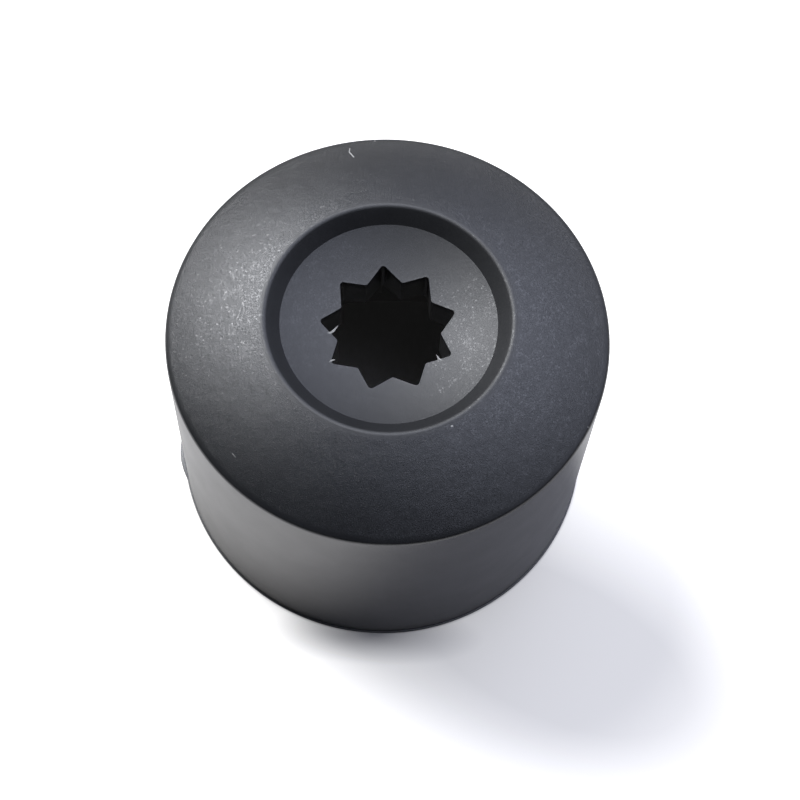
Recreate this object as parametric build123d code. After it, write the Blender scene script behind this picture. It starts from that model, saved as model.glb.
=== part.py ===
from build123d import *

import math
import os

# Push-on cover cap for a hexagon wheel bolt head, one plastic moulding.
# The axis is +Z, and the foot of the skirt stands on z = 0. Sizes are in millimetres.

# The bolt head, and the socket that grips it
bolt_across_flats = 17.0
head_clearance = 0.1        # between each flat of the head and the socket's mouth
socket_draft = 0.25         # degrees, the socket narrows upwards
socket_corner_radius = 0.5
lead_in = 0.35              # how far the lead-in cone opens past the socket's corners
lead_in_angle = 45.0        # degrees from the axis
rib_height = 0.25           # grip rib, one up the middle of each flat
rib_width = 1.2
rib_start = 3.0             # height of the rib's full section over the foot
rib_taper = 1.2             # pointed lower end of the rib

# Skirt
corner_wall = 1.99          # at the foot, outside the socket's corners
skirt_height = 16.05        # from the foot to the rim
skirt_draft = 1.5           # degrees, the skirt narrows upwards
rim_edge_radius = 0.25

# Domed crown, with a dished recess in its middle
crown_rise = 1.95           # from the rim to the recess edge, the highest line of the cap
crown_wall = 1.75           # over the flats of the socket
recess_diameter = 12.65
recess_depth = 0.75
recess_wall_angle = 45.0    # degrees from level
dish_sag = 1.09             # from the edge of the recess floor to its lowest point
recess_edge_radius = 0.3

# Pad under the dish, which the star goes through
pad_wall = 1.8              # under the lowest point of the dish
pad_margin = 0.35           # past the edge of the recess floor

# Star opening for the hook that pulls the cap off, across its corners before rounding
star_points = 9
star_tip_diameter = 7.17
star_root_diameter = 5.36
star_corner_radius = 0.18

# Moulding flash on the foot, where the mould parted: a thin lip all round, and a sliver on one side
flash_thickness = 0.18
flash_lip = 0.08            # past the skirt
sliver_reach = 0.25         # past the lip
sliver_angle = 180.0        # degrees round the axis from +X
sliver_radius = 4.0         # of its rounded outline

HEX_SIDES = 6
HALF_SIDE = math.pi / HEX_SIDES
STANDING = (Align.CENTER, Align.CENTER, Align.MIN)

# Heights and radii that follow from the sizes above
socket_apothem = bolt_across_flats / 2 + head_clearance
socket_corner = socket_apothem / math.cos(HALF_SIDE)
foot_radius = socket_corner + corner_wall
rim_z = skirt_height
rim_radius = foot_radius - skirt_height * math.tan(math.radians(skirt_draft))
peak_z = rim_z + crown_rise
recess_radius = recess_diameter / 2
floor_z = peak_z - recess_depth
floor_radius = recess_radius - recess_depth / math.tan(math.radians(recess_wall_angle))
dish_z = floor_z - dish_sag
pad_z = dish_z - pad_wall
pad_radius = floor_radius + pad_margin


def crown_height(radius):
    """Height of the crown: a sphere about the axis, through the rim and the recess edge."""
    spread = (rim_radius**2 - recess_radius**2) / crown_rise
    centre_z = (rim_z + peak_z - spread) / 2
    sphere_radius = math.hypot(rim_radius, rim_z - centre_z)
    return centre_z + math.sqrt(sphere_radius**2 - radius**2)


def dish_height(radius):
    """Height of the dished recess floor: a hollow sphere through its edge and its lowest point."""
    sphere_radius = (floor_radius**2 + dish_sag**2) / (2 * dish_sag)
    return dish_z + sphere_radius - math.sqrt(sphere_radius**2 - radius**2)


def arc_of(height, start, end):
    """Arc in the half section along a height function, from one radius to another."""
    middle = (start + end) / 2
    return ThreePointArc(*[(radius, height(radius)) for radius in (start, middle, end)])


def rounded(section, corner, radius):
    """The half section with one of its corners filleted."""
    place = Plane.XZ.from_local_coords(corner)
    return fillet(section.vertices().sort_by_distance(place)[0], radius)


def outer_form():
    """Skirt, domed crown and recess, turned about the axis as one solid."""
    rim, edge, floor = (rim_radius, rim_z), (recess_radius, peak_z), (floor_radius, floor_z)
    outline = Curve() + [
        Polyline((0, dish_z), (0, 0), (foot_radius, 0), rim),
        arc_of(crown_height, rim_radius, recess_radius),
        Line(edge, floor),
        arc_of(dish_height, floor_radius, 0),
    ]
    section = make_face(Plane.XZ * outline)
    section = rounded(section, rim, rim_edge_radius)
    section = rounded(section, edge, recess_edge_radius)
    return revolve(section, Axis.Z)


def flash():
    """Thin plate that stands out of the foot as a lip, with a lens-shaped sliver past it."""
    lip_radius = foot_radius + flash_lip
    centre = Rot(Z=sliver_angle) * Pos(lip_radius + sliver_reach - sliver_radius)
    sliver = centre * Cylinder(sliver_radius, flash_thickness, align=STANDING)
    return sliver + Cylinder(lip_radius, flash_thickness, align=STANDING)


def grip_ribs():
    """Upright ribs with a segment of a circle as section, pointed below, on the socket's flats."""
    radius = (rib_width**2 / 4 + rib_height**2) / (2 * rib_height)
    rib = Pos(Z=rib_start) * Cylinder(radius, peak_z - rib_start, align=STANDING)
    rib += Pos(Z=rib_start - rib_taper) * Cone(0, radius, rib_taper, align=STANDING)
    seat = socket_apothem - rib_height + radius
    return [place * rib for place in PolarLocations(seat, HEX_SIDES, start_angle=math.degrees(HALF_SIDE))]


def socket_hollow():
    """What the mould's core leaves open: a drafted hexagon round the pad, ribbed, with a lead-in cone."""
    ceiling_z = crown_height(socket_apothem) - crown_wall
    hexagon = RegularPolygon(socket_apothem, HEX_SIDES, major_radius=False)
    hexagon = fillet(hexagon.vertices(), socket_corner_radius)
    hollow = extrude(hexagon, ceiling_z, taper=socket_draft)
    hollow -= Pos(Z=pad_z) * Cylinder(pad_radius, peak_z - pad_z, align=STANDING)
    hollow -= grip_ribs()
    mouth_radius = socket_corner + lead_in
    inner_radius = socket_apothem - 2 * rib_height  # where the cone is clear of the flats
    cone_height = (mouth_radius - inner_radius) / math.tan(math.radians(lead_in_angle))
    return hollow + Cone(mouth_radius, inner_radius, cone_height, align=STANDING)


def star_opening():
    """Star prism through the pad and the dish, with one point towards +Y and its corners rounded."""
    step = math.pi / star_points
    radii = (star_tip_diameter / 2, star_root_diameter / 2)
    corners = [
        (radii[k % 2] * math.sin(k * step), radii[k % 2] * math.cos(k * step))
        for k in range(2 * star_points)
    ]
    star = make_face(Polyline(*corners, close=True))
    star = fillet(star.vertices(), star_corner_radius)
    return Pos(Z=pad_z - pad_wall) * extrude(star, peak_z - pad_z + pad_wall)


def make_cap():
    """The whole moulding."""
    cap = outer_form() + flash()
    cap -= socket_hollow()
    return cap - star_opening()


os.makedirs("parts", exist_ok=True)
export_step(make_cap(), "parts/cap.step")
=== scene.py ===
"""Looks of a push-on cover cap for a hexagon wheel bolt head.

The cap is one black plastic moulding, and it stands on a white table. Every size is in millimetres.
"""

from __future__ import annotations

import logging
import math
from dataclasses import dataclass, field
from enum import Enum
from typing import Any

import bpy
import numpy as np
from mathutils import Matrix, Vector

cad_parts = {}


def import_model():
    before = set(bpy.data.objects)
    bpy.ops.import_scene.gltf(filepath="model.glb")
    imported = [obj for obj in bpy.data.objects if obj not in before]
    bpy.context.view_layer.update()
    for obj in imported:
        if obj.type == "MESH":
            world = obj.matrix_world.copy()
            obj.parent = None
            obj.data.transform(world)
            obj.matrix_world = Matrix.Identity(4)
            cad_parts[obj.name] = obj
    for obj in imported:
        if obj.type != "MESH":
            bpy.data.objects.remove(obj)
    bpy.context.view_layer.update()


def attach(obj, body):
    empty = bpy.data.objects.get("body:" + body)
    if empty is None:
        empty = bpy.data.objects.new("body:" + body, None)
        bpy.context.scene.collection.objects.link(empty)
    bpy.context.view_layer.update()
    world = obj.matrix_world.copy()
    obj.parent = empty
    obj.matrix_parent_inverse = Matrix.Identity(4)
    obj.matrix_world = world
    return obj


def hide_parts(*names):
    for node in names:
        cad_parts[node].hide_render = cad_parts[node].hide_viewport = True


MM = 0.001                             # metres in a millimetre
PICTURE_WIDTH = 800                    # pixels
WHITE = (1.0, 1.0, 1.0, 1.0)
MEAN_CHANCE = (0.5, 0.5, 0.5)          # mean of a random vector
SKIN_VALUES = ("grain", "roughness", "pale")   # attributes of the cap that its finish reads
LOG = logging.getLogger("cover_cap")

Tree = bpy.types.NodeTree
Socket = bpy.types.NodeSocket
Pair = tuple[float, float]
Triple = tuple[float, float, float]
Rows = tuple[np.ndarray, np.ndarray]   # radius and height of points, each rows x columns


@dataclass(frozen=True)
class Skin:
    """What a face of the mould leaves on the plastic."""

    grain: float        # depth of the spark craters, 1 on the crown
    roughness: float


class MouldFace(Enum):
    """How the mould was finished where it forms a face, with the skin that this leaves."""

    SPARK_ERODED = Skin(1.0, 0.32)
    FINE_ERODED = Skin(0.5, 0.52)
    STONED = Skin(0.1, 0.36)
    MILLED_CORE = Skin(0.3, 0.4)


def linear(colour: str) -> tuple[float, ...]:
    """Turns a colour to the renderer's linear values, by the sRGB curve: straight near black, then a power.

    Args:
        colour: sRGB hex value, such as "#1c1d1f".

    Returns:
        Red, green, blue and an alpha of 1.
    """
    toe, slope, lift, power = 0.04045, 12.92, 0.055, 2.4
    srgb = np.array([int(colour[k:k + 2], 16) for k in (1, 3, 5)]) / 255
    curve = np.where(srgb <= toe, srgb / slope, ((srgb + lift) / (1 + lift)) ** power)
    return (*curve.tolist(), 1.0)


def add_node(
    tree: Tree, kind: str, inputs: dict[str | int, Any] | None = None, **settings: Any
) -> bpy.types.Node:
    """Adds one node with its settings and links.

    Args:
        tree: the node tree that it goes into.
        kind: Blender's name of the node type.
        inputs: for an input socket, by name or number, the output that is linked there or the value in it.
        settings: the node's own properties.

    Returns:
        The new node.
    """
    made = tree.nodes.new(kind)
    for name, value in settings.items():
        setattr(made, name, value)
    for socket, value in (inputs or {}).items():
        if isinstance(value, Socket):
            tree.links.new(value, made.inputs[socket])
        else:
            made.inputs[socket].default_value = value
    return made


def span(edges: Pair, levels: Pair) -> dict[str, float]:
    """Limits of a ramp: the values where it starts and stops, and its levels there."""
    return dict(zip(("From Min", "From Max", "To Min", "To Max"), (*edges, *levels)))


@dataclass(frozen=True)
class Noise:
    """A soft random pattern with finer ones laid over it, each half as large as the one before."""

    size: float                # across one patch
    detail: float = 2.0        # how many finer ones
    roughness: float = 0.5     # how strong each is against the one before

    def at(self, place: Socket) -> dict[str, Any]:
        """Inputs of the pattern at the given coordinates."""
        scale = 1 / (self.size * MM)
        return {"Vector": place, "Scale": scale, "Detail": self.detail, "Roughness": self.roughness}


@dataclass(frozen=True)
class Burr:
    """A hair of plastic left on the edge of the star opening, which points into it."""

    angle: float    # of its root, in degrees round the axis from +X
    reach: float
    lean: float     # how far its end leans to one side, in degrees round the axis
    width: float


@dataclass(frozen=True)
class Scuff:
    """A short pale scratch on the crown, from one point to another."""

    start: Triple
    end: Triple
    width: float


@dataclass(frozen=True)
class Ground:
    """What a finish is drawn on: its node tree, Object coordinates and the skin's values."""

    tree: Tree
    place: Socket
    grain: Socket
    roughness: Socket
    pale: Socket


@dataclass(frozen=True)
class MouldedPolyamide:
    """Black polyamide as it leaves a spark-eroded mould.

    Carbon black takes nearly all the light that enters, so what the eye sees is gloss: a broad grey sheen
    with fine sparkles where the mould was eroded, and a smooth satin where it was stoned along the draw.
    """

    name: str = "moulded_black_polyamide"
    colour: str = "#0c0d0f"
    mottled_colour: str = "#111214"
    dust_colour: str = "#a09f9b"
    ior: float = 1.58
    mottle: Noise = Noise(2.2, detail=3.0)
    roughness_swing: float = 0.04      # from one patch of the mottle to another
    crater: Noise = Noise(0.035, roughness=0.6)    # finer than a pixel, so craters show as a broader sheen
    crater_depth: float = 0.0165
    glint_size: float = 0.07           # facet between craters, drawn as coarse as it needs to be to show
    glint_clump: Noise = Noise(0.6, detail=1.0)    # patches with many facets
    glint_pull: float = 0.6            # how strongly they gather in patches
    glint_share: Pair = (0.92, 1.2)    # values of the pattern between which a facet gets its full gloss
    glint_gloss: float = 0.4
    glint_roughness: float = 0.25
    glint_tilt: float = 0.25           # how far a facet may lean, as a share of the normal
    wave: Noise = Noise(0.8)           # soft unevenness of the crown
    wave_depth: float = 0.016
    draw_mark: Noise = Noise(0.35)     # across faint marks along the draw
    draw_mark_length: float = 9.0
    draw_mark_depth: float = 0.0015
    dust_spacing: float = 1.1
    dust_size: float = 0.045
    dust_core: float = 0.6             # share of a speck's radius that is fully pale
    scuffs: tuple[Scuff, ...] = (
        Scuff((-1.21, 10.80, 16.37), (-1.26, 10.50, 16.50), 0.08),
        Scuff((-1.26, 10.50, 16.50), (-1.06, 10.06, 16.70), 0.10),
        Scuff((0.16, 11.29, 16.15), (0.22, 11.29, 16.15), 0.09),
        Scuff((2.58, -6.15, 17.91), (2.62, -6.15, 17.91), 0.12),
        Scuff((9.62, -6.02, 16.09), (9.66, -6.04, 16.07), 0.10),
        Scuff((-8.30, -6.30, 16.57), (-8.14, -6.50, 16.55), 0.05),
    )

    def material(self) -> bpy.types.Material:
        """Builds the node tree.

        Returns:
            The material, on Object coordinates and the piece's own attributes.
        """
        made = bpy.data.materials.new(self.name)
        made.use_nodes = True
        tree = made.node_tree
        tree.nodes.clear()
        place = add_node(tree, "ShaderNodeTexCoord").outputs["Object"]
        skin = (add_node(tree, "ShaderNodeAttribute", attribute_name=name) for name in SKIN_VALUES)
        ground = Ground(tree, place, *(value.outputs["Fac"] for value in skin))
        mottle = add_node(tree, "ShaderNodeTexNoise", self.mottle.at(place)).outputs["Fac"]
        swell = self.swell(ground)
        glint_scale = 1 / (self.glint_size * MM)
        cells = add_node(tree, "ShaderNodeTexVoronoi", {"Vector": place, "Scale": glint_scale}).outputs
        shader = add_node(
            tree,
            "ShaderNodeBsdfPrincipled",
            {
                "Base Color": self.colouring(ground, mottle),
                "Roughness": self.sheen(ground, mottle),
                "IOR": self.ior,
                "Normal": self.craters(ground, swell),
                "Coat Weight": self.glints(ground, cells["Color"]),
                "Coat Roughness": self.glint_roughness,
                "Coat IOR": self.ior,
                "Coat Normal": self.facets(ground, swell, cells["Position"]),
            },
        )
        add_node(tree, "ShaderNodeOutputMaterial", {"Surface": shader.outputs["BSDF"]})
        return made

    def colouring(self, ground: Ground, mottle: Socket) -> Socket:
        """Black with a faint mottle, pale on burrs and scuffs and under sparse specks of dust.

        Args:
            ground: what it is drawn on.
            mottle: slow noise from 0 to 1.

        Returns:
            The base colour.
        """
        tree, pale = ground.tree, ground.pale
        for mark in (self.dust(ground), *(self.scuff(ground, scuff) for scuff in self.scuffs)):
            pale = add_node(tree, "ShaderNodeMath", {0: pale, 1: mark}, operation="MAXIMUM").outputs["Value"]
        colour = linear(self.colour)
        for share, other in ((mottle, self.mottled_colour), (pale, self.dust_colour)):
            mixed = {"Factor": share, "A": colour, "B": linear(other)}
            colour = add_node(tree, "ShaderNodeMix", mixed, data_type="RGBA").outputs["Result"]
        return colour

    def dust(self, ground: Ground) -> Socket:
        """Marks a small round speck at the centre of each cell of a coarse random pattern.

        Args:
            ground: what it is drawn on.

        Returns:
            1 in a speck, 0 outside, less where the skin has less grain.
        """
        tree, scale = ground.tree, 1 / (self.dust_spacing * MM)
        cells = add_node(tree, "ShaderNodeTexVoronoi", {"Vector": ground.place, "Scale": scale})
        edge = self.dust_size / 2 / self.dust_spacing
        limits = span((self.dust_core * edge, edge), (1.0, 0.0))
        speck = add_node(tree, "ShaderNodeMapRange", {"Value": cells.outputs["Distance"], **limits})
        held = {0: speck.outputs["Result"], 1: ground.grain}
        return add_node(tree, "ShaderNodeMath", held, operation="MULTIPLY").outputs["Value"]

    def scuff(self, ground: Ground, scuff: Scuff) -> Socket:
        """Marks the points that lie within half a width of a line from the scuff's start to its end.

        The nearest point of the line is at a share of its run: the offset from its start times the run, over
        the run's squared length, held between 0 and 1.

        Args:
            ground: what it is drawn on.
            scuff: the scratch.

        Returns:
            1 on the line, falling to 0 at its edge.
        """
        tree = ground.tree
        start = Vector(scuff.start) * MM
        run = Vector(scuff.end) * MM - start
        offset = add_node(
            tree, "ShaderNodeVectorMath", {0: ground.place, 1: start}, operation="SUBTRACT"
        ).outputs["Vector"]
        along = add_node(
            tree, "ShaderNodeVectorMath", {0: offset, 1: run / run.length_squared}, operation="DOT_PRODUCT"
        ).outputs["Value"]
        share = add_node(tree, "ShaderNodeClamp", {"Value": along}).outputs["Result"]
        nearest = add_node(
            tree, "ShaderNodeVectorMath", {0: run, "Scale": share}, operation="SCALE"
        ).outputs["Vector"]
        gap = add_node(
            tree, "ShaderNodeVectorMath", {0: offset, 1: nearest}, operation="DISTANCE"
        ).outputs["Value"]
        limits = span((0.0, scuff.width / 2 * MM), (1.0, 0.0))
        return add_node(tree, "ShaderNodeMapRange", {"Value": gap, **limits}).outputs["Result"]

    def glints(self, ground: Ground, chance: Socket) -> Socket:
        """Picks scattered facets of the grain, in clumps: the few cells of a pattern with a high value.

        Args:
            ground: what they are drawn on.
            chance: random value of each cell.

        Returns:
            The facets' gloss, 0 between them, less where the skin has less grain.
        """
        tree = ground.tree
        clump = add_node(tree, "ShaderNodeTexNoise", self.glint_clump.at(ground.place)).outputs["Fac"]
        value = add_node(
            tree, "ShaderNodeMath", {0: clump, 1: self.glint_pull, 2: chance}, operation="MULTIPLY_ADD"
        ).outputs["Value"]
        limits = span(self.glint_share, (0.0, self.glint_gloss))
        gloss = add_node(tree, "ShaderNodeMapRange", {"Value": value, **limits}).outputs["Result"]
        held = {0: gloss, 1: ground.grain}
        return add_node(tree, "ShaderNodeMath", held, operation="MULTIPLY").outputs["Value"]

    def facets(self, ground: Ground, normal: Socket, cells: Socket) -> Socket:
        """Leans each facet its own way: adds a random vector of its cell, less its mean, to the normal.

        Args:
            ground: what they are drawn on.
            normal: of the surface without craters.
            cells: centre of each cell.

        Returns:
            The leaning normal.
        """
        tree = ground.tree
        chance = add_node(tree, "ShaderNodeTexWhiteNoise", {"Vector": cells}).outputs["Color"]
        lean = add_node(
            tree, "ShaderNodeVectorMath", {0: chance, 1: MEAN_CHANCE}, operation="SUBTRACT"
        ).outputs["Vector"]
        aside = add_node(
            tree, "ShaderNodeVectorMath", {0: lean, "Scale": self.glint_tilt}, operation="SCALE"
        ).outputs["Vector"]
        leaning = add_node(tree, "ShaderNodeVectorMath", {0: normal, 1: aside}).outputs["Vector"]
        return add_node(tree, "ShaderNodeVectorMath", {0: leaning}, operation="NORMALIZE").outputs["Vector"]

    def sheen(self, ground: Ground, mottle: Socket) -> Socket:
        """The skin's own roughness, with a slow swing.

        Args:
            ground: what it is drawn on.
            mottle: slow noise from 0 to 1.

        Returns:
            The roughness.
        """
        limits = span((0.0, 1.0), (-self.roughness_swing, self.roughness_swing))
        swing = add_node(ground.tree, "ShaderNodeMapRange", {"Value": mottle, **limits}).outputs["Result"]
        return add_node(ground.tree, "ShaderNodeMath", {0: ground.roughness, 1: swing}).outputs["Value"]

    def swell(self, ground: Ground) -> Socket:
        """Soft waves where the skin has grain, over faint marks drawn along the axis.

        Args:
            ground: what they are drawn on.

        Returns:
            The bumped normal.
        """
        tree, shrink = ground.tree, self.draw_mark.size / self.draw_mark_length
        drawn = add_node(tree, "ShaderNodeMapping", {"Vector": ground.place, "Scale": (1.0, 1.0, shrink)})
        marks = add_node(tree, "ShaderNodeTexNoise", self.draw_mark.at(drawn.outputs["Vector"]))
        streaked = add_node(
            tree, "ShaderNodeBump", {"Height": marks.outputs["Fac"], "Distance": self.draw_mark_depth * MM}
        )
        waves = add_node(tree, "ShaderNodeTexNoise", self.wave.at(ground.place))
        waved = add_node(
            tree,
            "ShaderNodeBump",
            {
                "Height": waves.outputs["Fac"],
                "Strength": ground.grain,
                "Distance": self.wave_depth * MM,
                "Normal": streaked.outputs["Normal"],
            },
        )
        return waved.outputs["Normal"]

    def craters(self, ground: Ground, normal: Socket) -> Socket:
        """Spark craters, as deep as the skin's grain.

        Args:
            ground: what they are drawn on.
            normal: of the surface under them.

        Returns:
            The bumped normal.
        """
        pits = add_node(ground.tree, "ShaderNodeTexNoise", self.crater.at(ground.place))
        grained = add_node(
            ground.tree,
            "ShaderNodeBump",
            {
                "Height": pits.outputs["Fac"],
                "Strength": ground.grain,
                "Distance": self.crater_depth * MM,
                "Normal": normal,
            },
        )
        return grained.outputs["Normal"]


@dataclass(frozen=True)
class StarOpening:
    """Star-shaped opening through the dish, one point towards +Y, for the hook that pulls the cap off."""

    points: int = 9
    tip_radius: float = 3.585      # to the sharp corners, before they are rounded
    root_radius: float = 2.68
    corner_radius: float = 0.18
    edge_radius: float = 0.05      # at the rim of the opening, on the dish
    burr_root: float = 0.15        # reach at which a burr is as pale as its end
    burr_paleness: float = 0.5
    burrs: tuple[Burr, ...] = (
        Burr(181.0, 0.42, -9.0, 0.05),
        Burr(-151.7, 0.22, 1.5, 0.05),
        Burr(-38.3, 0.30, 4.0, 0.05),
    )

    def outline(self, angle: np.ndarray) -> np.ndarray:
        """Works out the opening's radius at each angle.

        Half a point is a straight edge from tip to root: in polar form, its distance from the axis over the
        cosine of the angle from its normal. An arc rounds each end. The tip's arc is centred on the tip's
        ray, a corner radius inside the edge, and the root's arc on the root's ray, a corner radius outside
        it. Each meets the edge at the foot of the line from its centre, square to the edge.

        Args:
            angle: radians round the axis from +X.

        Returns:
            The radius at each angle.
        """
        step = math.pi / self.points
        turn = np.abs((angle - math.pi / 2 + step) % (2 * step) - step)
        rise = self.root_radius * math.sin(step)
        run = self.tip_radius - self.root_radius * math.cos(step)
        lean = math.atan2(run, rise)
        reach = self.tip_radius * math.cos(lean)
        tip_centre = (reach - self.corner_radius) / math.cos(lean)
        root_centre = (reach + self.corner_radius) / math.cos(step - lean)
        tip_end = lean - math.atan2(tip_centre * math.sin(lean), reach)
        root_end = lean + math.atan2(root_centre * math.sin(step - lean), reach)
        tip_arc = self.arc(tip_centre, turn, 1)
        root_arc = self.arc(root_centre, step - turn, -1)
        straight = reach / np.cos(turn - lean)
        return np.select([turn < tip_end, turn > root_end], [tip_arc, root_arc], straight)

    def arc(self, centre: float, turn: np.ndarray, side: int) -> np.ndarray:
        """Far (side 1) or near (side -1) crossing of a ray with a corner circle, by the law of cosines."""
        spare = self.corner_radius**2 - (centre * np.sin(turn)) ** 2
        return centre * np.cos(turn) + side * np.sqrt(np.maximum(spare, 0))

    def burr_shapes(self, angle: np.ndarray) -> tuple[np.ndarray, np.ndarray]:
        """Adds up one bell curve over the arc length for each burr.

        Args:
            angle: radians round the axis from +X.

        Returns:
            How far the burrs stand into the opening at each angle, and how far they lean, in radians.
        """
        reach, lean = np.zeros_like(angle), np.zeros_like(angle)
        for burr in self.burrs:
            gap = (angle - math.radians(burr.angle) + math.pi) % math.tau - math.pi
            bell = np.exp(-((gap * self.root_radius / (burr.width / 2)) ** 2))
            reach += burr.reach * bell
            lean += math.radians(burr.lean) * bell**2
        return reach, lean


@dataclass(frozen=True)
class HexSocket:
    """Drafted hexagon for the bolt head, corners on the X axis, a rib up each flat and a lead-in cone."""

    sides: int = 6
    apothem: float = 8.6           # at the foot
    draft: float = 0.25            # degrees
    corner_radius: float = 0.5
    lead_in: float = 0.35          # past the socket's sharp corners, at 45 degrees
    rib_height: float = 0.25
    rib_width: float = 1.2
    rib_start: float = 3.0         # height over the foot from which a rib is whole
    rib_taper: float = 1.2         # length of its pointed end below that

    @property
    def mouth_radius(self) -> float:
        """Radius of the lead-in cone at the foot."""
        return self.apothem / math.cos(math.pi / self.sides) + self.lead_in

    def outline(self, angle: np.ndarray, height: np.ndarray) -> np.ndarray:
        """Works out the socket's radius at each angle and height.

        A flat is its distance from the axis over the cosine of the angle from its middle. Near a corner an
        arc takes over, centred on the corner's ray. A rib is the near side of a circle centred on the flat's
        middle ray, and the circle shrinks to nothing along the rib's tapered lower end.

        Args:
            angle: radians round the axis from +X.
            height: over the foot.

        Returns:
            The radius.
        """
        half = math.pi / self.sides
        turn = np.abs(angle % (2 * half) - half)
        apothem = self.apothem - height * math.tan(math.radians(self.draft))
        flat = apothem / np.cos(turn)
        centre = (apothem - self.corner_radius) / math.cos(half)
        aside = centre * np.sin(half - turn)
        corner = centre * np.cos(half - turn) + np.sqrt(np.maximum(self.corner_radius**2 - aside**2, 0))
        tangent = np.arctan2(centre * math.sin(half), apothem)
        wall = np.where(turn > tangent, corner, flat)
        full = (self.rib_width**2 / 4 + self.rib_height**2) / (2 * self.rib_height)
        seat = self.apothem - self.rib_height + full
        size = full * np.clip((height - self.rib_start + self.rib_taper) / self.rib_taper, 0, 1)
        spare = size**2 - (seat * np.sin(turn)) ** 2
        rib = np.where(spare > 0, seat * np.cos(turn) - np.sqrt(np.maximum(spare, 0)), np.inf)
        return np.minimum(wall, rib)


@dataclass(frozen=True)
class Flash:
    """Thin lip of flash round the foot, where the mould parted, and a rounded sliver past it on one side."""

    thickness: float = 0.18
    lip_radius: float = 12.0
    edge_radius: float = 0.04
    sliver_reach: float = 0.25     # past the lip
    sliver_angle: float = 180.0    # degrees round the axis from +X
    sliver_radius: float = 4.0     # of its rounded outline

    def outline(self, angle: np.ndarray) -> np.ndarray:
        """Works out the flash's radius: the lip's, or the sliver's where that is larger.

        The sliver is a circle about a point inside the lip. Its radius is where a ray from the axis leaves
        that circle, by the law of cosines.

        Args:
            angle: radians round the axis from +X.

        Returns:
            The radius at each angle.
        """
        centre = self.lip_radius + self.sliver_reach - self.sliver_radius
        turn = angle - math.radians(self.sliver_angle)
        spare = self.sliver_radius**2 - (centre * np.sin(turn)) ** 2
        far = centre * np.cos(turn) + np.sqrt(np.maximum(spare, 0))
        return np.maximum(self.lip_radius, np.where((spare > 0) & (np.cos(turn) > 0), far, 0))

    def edge(self, angle: np.ndarray, rows: int = 4) -> Rows:
        """Rounded edge of the plate: a quarter circle at its top, and one at the table, along the outline.

        Args:
            angle: radians round the axis from +X.
            rows: rows on each quarter.

        Returns:
            The rows, from the top down.
        """
        turn = np.linspace(math.pi / 2, 0, rows)[:, None]
        reach = self.outline(angle) - self.edge_radius * (1 - np.cos(turn))
        inset = self.edge_radius * (1 - np.sin(turn)) + 0 * reach
        return np.concatenate([reach, reach[::-1]]), np.concatenate([self.thickness - inset, inset[::-1]])


@dataclass
class Band:
    """Some rows of the surface that one kind of mould face made. Each row runs once round the cap."""

    rows: Rows
    face: MouldFace
    lean: np.ndarray | float = 0.0     # radians that points are moved round the axis
    pale: np.ndarray | float = 0.0     # 1 where the plastic is stretched white

    def spread(self, values: np.ndarray | float) -> np.ndarray:
        """Gives every point of the band its value."""
        return np.broadcast_to(values, self.rows[0].shape)

    def skin(self) -> dict[str, np.ndarray]:
        """The skin's values at every point of the band."""
        values = (self.face.value.grain, self.face.value.roughness, self.pale)
        return {name: self.spread(value) for name, value in zip(SKIN_VALUES, values)}


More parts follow.
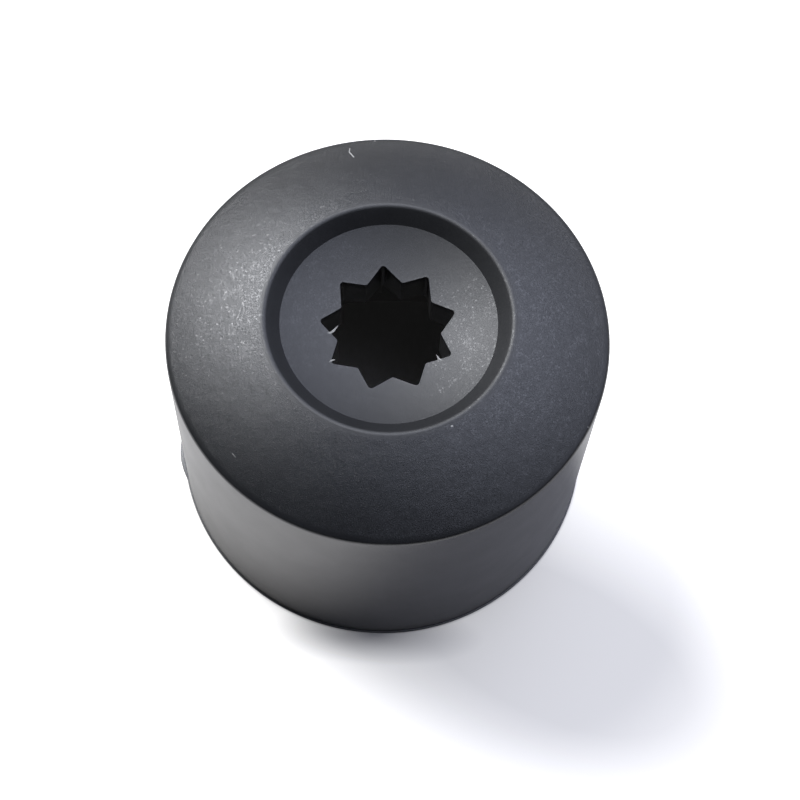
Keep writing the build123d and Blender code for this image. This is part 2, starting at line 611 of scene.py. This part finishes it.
@dataclass
class CoverCap:
    """The moulding: skirt, domed crown, dished recess with the star opening, and hexagon socket underneath.

    Its surface closes on itself both ways: round the axis, and along a section that starts at the star's
    edge, runs out over the crown, down the skirt, in under the foot, up the socket and back up the star's
    wall.
    """

    columns: int = 720
    foot_radius: float = 11.92
    rim_radius: float = 11.5
    rim_z: float = 16.05
    rim_edge_radius: float = 0.25
    crown_rise: float = 1.95           # from the rim to the recess edge, before that is rounded
    recess_radius: float = 6.325
    recess_edge_radius: float = 0.3
    recess_depth: float = 0.75         # of its wall, which stands at 45 degrees
    dish_sag: float = 1.09             # from the edge of the recess floor to its lowest point
    ceiling_z: float = 15.55           # of the socket, round the pad
    pad_wall: float = 1.8              # under the lowest point of the dish
    pad_margin: float = 0.35           # past the edge of the recess floor
    crease_angle: float = 16.0         # degrees; flatter edges are shaded smooth
    star: StarOpening = field(default_factory=StarOpening)
    socket: HexSocket = field(default_factory=HexSocket)
    flash: Flash = field(default_factory=Flash)
    finish: MouldedPolyamide = field(default_factory=MouldedPolyamide)

    def __post_init__(self) -> None:
        """Works out the heights and radii that follow from the sizes, and two spheres.

        The crown's sphere goes through the rim and the recess edge. The dish's goes through the edge of the
        recess floor and its lowest point.
        """
        self.angle = np.arange(self.columns) * (math.tau / self.columns)
        self.peak_z = self.rim_z + self.crown_rise
        self.floor_z = self.peak_z - self.recess_depth
        self.floor_radius = self.recess_radius - self.recess_depth
        self.dish_z = self.floor_z - self.dish_sag
        self.pad_z = self.dish_z - self.pad_wall
        self.pad_radius = self.floor_radius + self.pad_margin
        spread = (self.rim_radius**2 - self.recess_radius**2) / self.crown_rise
        self.crown_centre = (self.rim_z + self.peak_z - spread) / 2
        self.crown_radius = math.hypot(self.rim_radius, self.rim_z - self.crown_centre)
        self.dish_radius = (self.floor_radius**2 + self.dish_sag**2) / (2 * self.dish_sag)

    def dish_height(self, radius: np.ndarray) -> np.ndarray:
        """Height of the dish: the lower side of its sphere."""
        return self.dish_z + self.dish_radius - np.sqrt(self.dish_radius**2 - radius**2)

    def turned(self, section: np.ndarray) -> Rows:
        """Carries points of the half section round the axis, each as one row."""
        rows = np.repeat(section[:, :, None], self.columns, axis=2)
        return rows[:, 0], rows[:, 1]

    def arc(self, centre: np.ndarray, radius: float, angles: np.ndarray) -> np.ndarray:
        """Points of an arc in the half section, at the given angles."""
        return centre + radius * np.stack([np.cos(angles), np.sin(angles)], axis=1)

    def between(self, start: Rows, end: Rows, steps: int) -> Rows:
        """Evenly spaced rows from one line round the cap, which is left out, to another."""
        share = np.linspace(0, 1, steps + 1)[1:, None]
        return tuple((1 - share) * first + share * last for first, last in zip(start, end))

    def rolled_edge(self, corner: Pair, flank: Pair, radius: float, rows: int = 9) -> np.ndarray:
        """Rounds the edge where a straight flank meets the crown, as a ball rolled along the inside of both.

        The ball's centre lies one radius inside the flank, and one radius inside the crown's sphere. It is
        found by sliding along the flank from the corner, as the nearer root of a quadratic.

        Args:
            corner: the sharp corner, its radius and height.
            flank: another point of the flank, below the corner.
            radius: of the ball.
            rows: how many points.

        Returns:
            Points of the half section, from the flank to the crown.
        """
        along = (np.array(corner) - np.array(flank)) / math.dist(corner, flank)
        side = 1 if flank[0] < corner[0] else -1
        normal = side * np.array([along[1], -along[0]])
        base = np.array([0, self.crown_centre])
        offset = np.array(corner) + radius * normal - base
        middle = offset @ along
        root = math.sqrt(middle**2 - offset @ offset + (self.crown_radius - radius) ** 2)
        from_sphere = offset + min(root - middle, -root - middle, key=abs) * along
        ends = math.atan2(-normal[1], -normal[0]), math.atan2(from_sphere[1], from_sphere[0])
        return self.arc(base + from_sphere, radius, np.linspace(*ends, rows))

    def recess_edge(self) -> np.ndarray:
        """Rounded edge of the recess, from its wall to the crown."""
        corner, floor = (self.recess_radius, self.peak_z), (self.floor_radius, self.floor_z)
        return self.rolled_edge(corner, floor, self.recess_edge_radius)

    def rim_edge(self) -> np.ndarray:
        """Rounded rim, from the crown to the skirt."""
        corner, foot = (self.rim_radius, self.rim_z), (self.foot_radius, 0.0)
        return self.rolled_edge(corner, foot, self.rim_edge_radius)[::-1]

    def star_edge(self, rows: int = 7) -> Band:
        """Quarter round from the star's wall to the dish, with the burrs standing out of its middle.

        A burr stands out by its reach times the squared sine of twice the turn, which is 1 halfway round.

        Args:
            rows: how many.

        Returns:
            The band, pale where burrs stand.
        """
        turn = np.linspace(0, math.pi / 2, rows)[:, None]
        ring, edge = self.star.outline(self.angle), self.star.edge_radius
        reach, lean = self.star.burr_shapes(self.angle)
        out = np.sin(2 * turn) ** 2
        radius = ring + edge * (1 - np.cos(turn)) - reach * out
        height = self.dish_height(ring + edge) - edge * (1 - np.sin(turn))
        pale = self.star.burr_paleness * np.clip(reach / self.star.burr_root, 0, 1)
        return Band((radius, height), MouldFace.FINE_ERODED, lean=lean * out, pale=pale)

    def dish(self, steps: int = 16) -> Rows:
        """Dish: evenly spaced lines from the star's edge to the edge of the floor, on the dish's sphere.

        Args:
            steps: how many.

        Returns:
            The rows, from the star outwards.
        """
        inner = self.star.outline(self.angle) + self.star.edge_radius
        share = np.linspace(0, 1, steps + 1)[1:, None]
        radius = (1 - share) * inner + share * self.floor_radius
        return radius, self.dish_height(radius)

    def recess_wall(self, steps: int = 3) -> Rows:
        """Wall of the recess: a straight line from the edge of the floor, with the rounded edge, turned.

        Args:
            steps: how many, below the rounded edge.

        Returns:
            The rows, from the floor outwards.
        """
        edge, floor = self.recess_edge(), np.array([self.floor_radius, self.floor_z])
        share = np.linspace(0, 1, steps + 1)[1:-1, None]
        return self.turned(np.concatenate([floor + share * (edge[0] - floor), edge]))

    def dome(self, steps: int = 20) -> Rows:
        """Crown: an arc of its sphere between the two rounded edges, turned.

        Args:
            steps: how many, from one edge to the other.

        Returns:
            The rows, from the recess outwards.
        """
        base = np.array([0, self.crown_centre])
        start, end = self.recess_edge()[-1] - base, self.rim_edge()[0] - base
        angles = np.linspace(math.atan2(*start[::-1]), math.atan2(*end[::-1]), steps + 1)[1:-1]
        return self.turned(self.arc(base, self.crown_radius, angles))

    def skirt(self, steps: int = 16) -> Rows:
        """Drafted skirt: a straight line from the rim down to the top of the flash, turned.

        Args:
            steps: how many.

        Returns:
            The rows, from the rim down.
        """
        top, foot = self.rim_edge()[-1], np.array([self.foot_radius, 0.0])
        share = np.linspace(0, 1 - self.flash.thickness / top[1], steps + 1)[1:, None]
        return self.turned(top + share * (foot - top))

    def socket_wall(self, cone_steps: int = 7, taper_rows: int = 6, wall_steps: int = 8) -> list[Rows]:
        """Lead-in cone and ribbed wall of the socket.

        The cone's rows end on the curve where it meets the socket's wall, which dips at the corners. The
        wall's rows start there and are level from the foot of the ribs up.

        Args:
            cone_steps: steps up the lead-in cone.
            taper_rows: rows along the ribs' tapered ends.
            wall_steps: steps from there to the ceiling.

        Returns:
            The cone's rows and the wall's, from the foot up.
        """
        socket, mouth, level = self.socket, self.socket.mouth_radius, np.ones(self.columns)
        scallop = mouth - socket.outline(self.angle, 0 * level)
        climb = np.linspace(0, 1, cone_steps + 1)[:, None] * scallop
        taper = np.linspace(socket.rib_start - socket.rib_taper, socket.rib_start, taper_rows)
        upper = np.linspace(socket.rib_start, self.ceiling_z, wall_steps + 1)[1:]
        heights = np.concatenate([taper, upper])[:, None] * level
        return [(mouth - climb, climb), (socket.outline(self.angle, heights), heights)]

    def pad(self, steps: tuple[int, ...] = (3, 2, 5, 5)) -> list[Rows]:
        """Ceiling of the socket, side and face of the pad, and wall of the star: straight from line to line.

        Args:
            steps: how many on each of the four.

        Returns:
            The rows, from the socket's wall to just under the star's edge.
        """
        level, ring, edge = np.ones(self.columns), self.star.outline(self.angle), self.star.edge_radius
        ceiling, face, side = self.ceiling_z * level, self.pad_z * level, self.pad_radius * level
        wall = self.socket.outline(self.angle, ceiling)
        top = self.dish_height(ring + edge) - edge
        lines = [(wall, ceiling), (side, ceiling), (side, face), (ring, face), (ring, top)]
        *parts, star_wall = [self.between(*stretch) for stretch in zip(lines, lines[1:], steps)]
        return [*parts, tuple(rows[:-1] for rows in star_wall)]

    def bands(self) -> list[Band]:
        """Lists the surface's bands.

        Returns:
            The bands, in order along the section.
        """
        made_by = (
            (MouldFace.FINE_ERODED, [self.dish(), self.recess_wall()]),
            (MouldFace.SPARK_ERODED, [self.dome()]),
            (MouldFace.STONED, [self.turned(self.rim_edge()), self.skirt(), self.flash.edge(self.angle)]),
            (MouldFace.MILLED_CORE, [*self.socket_wall(), *self.pad()]),
        )
        return [self.star_edge(), *(Band(rows, face) for face, parts in made_by for rows in parts)]

    def mesh(self, bands: list[Band]) -> bpy.types.Mesh:
        """Joins the bands to one surface.

        A point's x and y are its radius times the cosine and sine of its angle. Quads join each row and
        column to the next, and the last to the first.

        Args:
            bands: in order along the section.

        Returns:
            The closed mesh, with its creases marked.
        """
        radius = np.concatenate([band.rows[0] for band in bands])
        height = np.concatenate([band.rows[1] for band in bands])
        angle = self.angle + np.concatenate([band.spread(band.lean) for band in bands])
        points = np.stack([radius * np.cos(angle), radius * np.sin(angle), height], axis=2) * MM
        index = np.arange(radius.size).reshape(radius.shape)
        below, beside = np.roll(index, -1, axis=0), np.roll(index, -1, axis=1)
        quads = np.stack([index, below, np.roll(below, -1, axis=1), beside], axis=2)
        mesh = bpy.data.meshes.new("cover_cap")
        mesh.vertices.add(radius.size)
        mesh.vertices.foreach_set("co", points.astype(np.float32).ravel())
        mesh.loops.add(quads.size)
        mesh.loops.foreach_set("vertex_index", quads.astype(np.int32).ravel())
        mesh.polygons.add(radius.size)
        starts = np.arange(0, quads.size, quads.shape[2], dtype=np.int32)
        mesh.polygons.foreach_set("loop_start", starts)
        mesh.update(calc_edges=True)
        mesh.set_sharp_from_angle(angle=math.radians(self.crease_angle))
        return mesh

    def build(self) -> bpy.types.Object:
        """Makes the cap, gives each point its skin's values and dresses it in its finish.

        Returns:
            The cap, at the origin.
        """
        bands = self.bands()
        mesh = self.mesh(bands)
        skins = [band.skin() for band in bands]
        for name in SKIN_VALUES:
            values = np.concatenate([skin[name] for skin in skins]).astype(np.float32).ravel()
            mesh.attributes.new(name, "FLOAT", "POINT").data.foreach_set("value", values)
        mesh.materials.append(self.finish.material())
        cap = bpy.data.objects.new("cover_cap", mesh)
        bpy.context.scene.collection.objects.link(cap)
        return cap


@dataclass(frozen=True)
class Oval:
    """An ellipse on the table."""

    middle: Pair
    reach: Pair      # half axes
    turn: float      # degrees of the first one from +X


class PaintedShadowPlace(Enum):
    """Ovals where the table's glow is held lower, as painted shadow and painted shade round the cap."""

    CAST_SHADOW = Oval((8.5, -13.3), (29.0, 13.7), -31.0)
    FOOT_CONTACT = Oval((-1.5, -12.0), (6.5, 1.8), -7.0)


@dataclass(frozen=True)
class Fade:
    """Glow that grows outwards from an oval on the table where it is held lower, which paints shade there.
    """

    place: PaintedShadowPlace
    shares: Pair     # of the oval's reach, where it starts and stops growing
    levels: Pair     # how white it is there


@dataclass(frozen=True)
class Glow:
    """A part of the room that glows round an axis."""

    axis: Triple
    edges: Pair      # cosines of the angle from the axis, where it starts and stops growing brighter
    levels: Pair     # how bright it is there


@dataclass
class Studio:
    """White table under a soft lamp at the left and behind, in a room that is bright behind the cap."""

    table_half_width: float = 2000.0
    table_colour: str = "#c6c3bf"
    # The fades hold the table's glow lower round the cap: a painted shadow over the lamp's real shadow, seen
    # by the camera and in gloss.
    seen: Fade = Fade(PaintedShadowPlace.CAST_SHADOW, (0.3, 1.0), (0.33, 1.0))         # to the camera
    mirrored: Fade = Fade(PaintedShadowPlace.CAST_SHADOW, (0.72, 0.9), (0.0, 0.69))    # in gloss
    # Dims both fades in front of the foot of the cap: painted shade.
    painted_contact_shade: Fade = Fade(PaintedShadowPlace.FOOT_CONTACT, (0.0, 1.0), (0.0, 1.0))      # share of both that is left
    # Faint painted glow of the table under the cap, which lightens the inside of the star opening.
    painted_glow_under_cap: Pair = (0.0045, 0.042)  # how white the table is there, to the camera and in gloss
    foot_edge: Pair = (11.9, 12.15)    # radii between which the fades set in, at the foot of the cap
    room_colour: str = "#e3e9ff"
    above: Glow = Glow((0.416, 0.325, 0.849), (0.66, 1.27), (0.03, 7.0))
    below: Glow = Glow((0.0, 0.0, -1.0), (0.0, 0.1), (0.0, 0.6))      # for a look from under the table
    lamp_direction: Triple = (-0.4, 0.511, 0.761)
    lamp_distance: float = 300.0
    lamp_width: float = 140.0
    lamp_power: float = 1.25           # watts
    lamp_colour: str = "#f9fbff"

    def fade(self, tree: Tree, place: Socket, fade: Fade) -> Socket:
        """Straight ramp over the distance from the middle of the fade's oval, measured in its half axes.

        Args:
            tree: the table's node tree.
            place: Object coordinates.
            fade: its oval and levels.

        Returns:
            The level.
        """
        oval = fade.place.value
        frame = {
            "Vector": place,
            "Location": Vector((*oval.middle, 0.0)) * MM,
            "Rotation": (0.0, 0.0, math.radians(oval.turn)),
            "Scale": Vector((*oval.reach, 1.0)) * MM,
        }
        local = add_node(tree, "ShaderNodeMapping", frame, vector_type="TEXTURE").outputs["Vector"]
        away = add_node(tree, "ShaderNodeVectorMath", {0: local}, operation="LENGTH").outputs["Value"]
        limits = span(fade.shares, fade.levels)
        return add_node(tree, "ShaderNodeMapRange", {"Value": away, **limits}).outputs["Result"]

    def glow_with_painted_shadow(self, tree: Tree) -> Socket:
        """Glow that the table shows to the camera and in gloss or glass, but does not throw on the object.

        Each glow is its own fade, held lower round the cap's cast shadow to paint that shadow over the
        lamp's real one, times the fade in front of the foot, which paints shade there. Inside the foot a
        faint painted glow under the cap takes over.

        Args:
            tree: the table's node tree.

        Returns:
            The strength of its glow, 0 for rays that light the object.
        """
        place = add_node(tree, "ShaderNodeTexCoord").outputs["Object"]
        radius = add_node(tree, "ShaderNodeVectorMath", {0: place}, operation="LENGTH").outputs["Value"]
        start, stop = self.foot_edge
        limits = span((start * MM, stop * MM), (0.0, 1.0))
        outside = add_node(
            tree, "ShaderNodeMapRange", {"Value": radius, **limits}, interpolation_type="SMOOTHSTEP"
        ).outputs["Result"]
        # Painted shade in front of the foot, which dims both fades there.
        shade = self.fade(tree, place, self.painted_contact_shade)
        levels = []
        # Inside the foot, the faint painted glow under the cap replaces each fade.
        for fade, under in zip((self.seen, self.mirrored), self.painted_glow_under_cap):
            shaded = {0: self.fade(tree, place, fade), 1: shade}
            white = add_node(tree, "ShaderNodeMath", shaded, operation="MULTIPLY").outputs["Value"]
            mixed = add_node(tree, "ShaderNodeMix", {"Factor": outside, "A": under, "B": white})
            levels.append(mixed.outputs["Result"])
        seen, mirrored = levels
        rays = add_node(tree, "ShaderNodeLightPath").outputs
        kinds = {0: rays["Is Glossy Ray"], 1: rays["Is Transmission Ray"]}
        bounced = add_node(tree, "ShaderNodeMath", kinds, operation="MAXIMUM").outputs["Value"]
        gloss = {0: bounced, 1: mirrored}
        in_gloss = add_node(tree, "ShaderNodeMath", gloss, operation="MULTIPLY").outputs["Value"]
        both = {0: rays["Is Camera Ray"], 1: seen, 2: in_gloss}
        return add_node(tree, "ShaderNodeMath", both, operation="MULTIPLY_ADD").outputs["Value"]

    def table_material(self) -> bpy.types.Material:
        """Builds the table's matt white: plain far from the cap, painted shadow near it, clear from below.

        Returns:
            The material.
        """
        material = bpy.data.materials.new("matt_white_table")
        material.use_nodes = True
        tree = material.node_tree
        tree.nodes.clear()
        matt = add_node(
            tree,
            "ShaderNodeBsdfPrincipled",
            {
                "Base Color": linear(self.table_colour),
                "Roughness": 1.0,
                "Specular IOR Level": 0.0,
                "Emission Color": WHITE,
                "Emission Strength": self.glow_with_painted_shadow(tree),
            },
        )
        glass = add_node(tree, "ShaderNodeBsdfTransparent")
        below = add_node(tree, "ShaderNodeNewGeometry").outputs["Backfacing"]
        surface = add_node(
            tree, "ShaderNodeMixShader", {0: below, 1: matt.outputs["BSDF"], 2: glass.outputs["BSDF"]}
        )
        add_node(tree, "ShaderNodeOutputMaterial", {"Surface": surface.outputs["Shader"]})
        return material

    def table(self) -> bpy.types.Object:
        """Lays the table top under the cap.

        Returns:
            The table.
        """
        half = self.table_half_width * MM
        corners = [(-half, -half, 0), (half, -half, 0), (half, half, 0), (-half, half, 0)]
        mesh = bpy.data.meshes.new("table")
        mesh.from_pydata(corners, [], [(0, 1, 2, 3)])
        mesh.materials.append(self.table_material())
        table = bpy.data.objects.new("table", mesh)
        bpy.context.scene.collection.objects.link(table)
        return table

    def glow(self, tree: Tree, glow: Glow) -> Socket:
        """Smooth step over the cosine of the angle between the way that is looked and the glow's axis.

        Args:
            tree: the room's node tree.
            glow: its axis and levels.

        Returns:
            The brightness.
        """
        way = add_node(tree, "ShaderNodeTexCoord").outputs["Generated"]
        axes = {0: way, 1: Vector(glow.axis).normalized()}
        cosine = add_node(tree, "ShaderNodeVectorMath", axes, operation="DOT_PRODUCT").outputs["Value"]
        limits = span(glow.edges, glow.levels)
        return add_node(
            tree, "ShaderNodeMapRange", {"Value": cosine, **limits}, interpolation_type="SMOOTHSTEP"
        ).outputs["Result"]

    def room(self) -> bpy.types.World:
        """Makes the room: a broad pale glow above and behind the cap, dark elsewhere, white to the camera.

        Returns:
            The scene's world.
        """
        world = bpy.data.worlds.new("pale_room")
        world.use_nodes = True
        tree = world.node_tree
        tree.nodes.clear()
        glows = {0: self.glow(tree, self.above), 1: self.glow(tree, self.below)}
        strength = add_node(tree, "ShaderNodeMath", glows, operation="MAXIMUM").outputs["Value"]
        colour = linear(self.room_colour)
        lit = add_node(tree, "ShaderNodeBackground", {"Color": colour, "Strength": strength})
        plain = add_node(tree, "ShaderNodeBackground", {"Color": WHITE, "Strength": 1.0})
        camera_ray = add_node(tree, "ShaderNodeLightPath").outputs["Is Camera Ray"]
        mixed = add_node(
            tree,
            "ShaderNodeMixShader",
            {0: camera_ray, 1: lit.outputs["Background"], 2: plain.outputs["Background"]},
        )
        add_node(tree, "ShaderNodeOutputWorld", {"Surface": mixed.outputs["Shader"]})
        bpy.context.scene.world = world
        return world

    def lamp(self) -> bpy.types.Object:
        """Hangs the round soft lamp, aimed at the cap.

        Returns:
            The lamp.
        """
        data = bpy.data.lights.new("soft_lamp", "AREA")
        data.shape = "DISK"
        data.size = self.lamp_width * MM
        data.energy = self.lamp_power
        data.color = linear(self.lamp_colour)[:3]
        lamp = bpy.data.objects.new("soft_lamp", data)
        back = Vector(self.lamp_direction).normalized()
        turn = back.to_track_quat("Z", "Y").to_matrix().to_4x4()
        lamp.matrix_world = Matrix.Translation(back * self.lamp_distance * MM) @ turn
        bpy.context.scene.collection.objects.link(lamp)
        return lamp


@dataclass
class PictureCamera:
    """Camera that looks down on the cap as the photograph does."""

    position: Triple = (-4.48, -33.85, 91.44)
    aim: Triple = (0.723, -1.041, 9.0)
    roll: float = 4.5              # degrees, anticlockwise
    focal_pixels: float = 1600.0
    sensor_width: float = 36.0
    clip_start: float = 1.0

    def build(self) -> bpy.types.Object:
        """Places the camera: its axis runs through the aim, and its level is turned by the roll.

        Returns:
            The scene's camera.
        """
        data = bpy.data.cameras.new("picture_camera")
        data.sensor_width = self.sensor_width
        data.lens = self.focal_pixels * self.sensor_width / PICTURE_WIDTH
        data.clip_start = self.clip_start * MM
        camera = bpy.data.objects.new("picture_camera", data)
        ahead = (Vector(self.aim) - Vector(self.position)).normalized()
        level = ahead.cross(Vector((0, 0, 1))).normalized()
        roll = math.radians(self.roll)
        right = level * math.cos(roll) + level.cross(ahead) * math.sin(roll)
        turn = Matrix((right, right.cross(ahead), -ahead)).transposed().to_4x4()
        camera.matrix_world = Matrix.Translation(Vector(self.position) * MM) @ turn
        bpy.context.scene.collection.objects.link(camera)
        bpy.context.scene.camera = camera
        return camera


def main() -> None:
    """Builds the cap, its table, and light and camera."""
    logging.basicConfig(level=logging.INFO, format="%(message)s")
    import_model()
    cap = CoverCap().build()
    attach(cap, "root")
    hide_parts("cap")
    LOG.info("cover cap: %d faces", len(cap.data.polygons))
    studio = Studio()
    for made in (studio.table(), studio.room(), studio.lamp(), PictureCamera().build()):
        LOG.info("studio: %s", made.name)
    bpy.context.scene.view_settings.view_transform = "Standard"


if __name__ == "__main__":
    main()
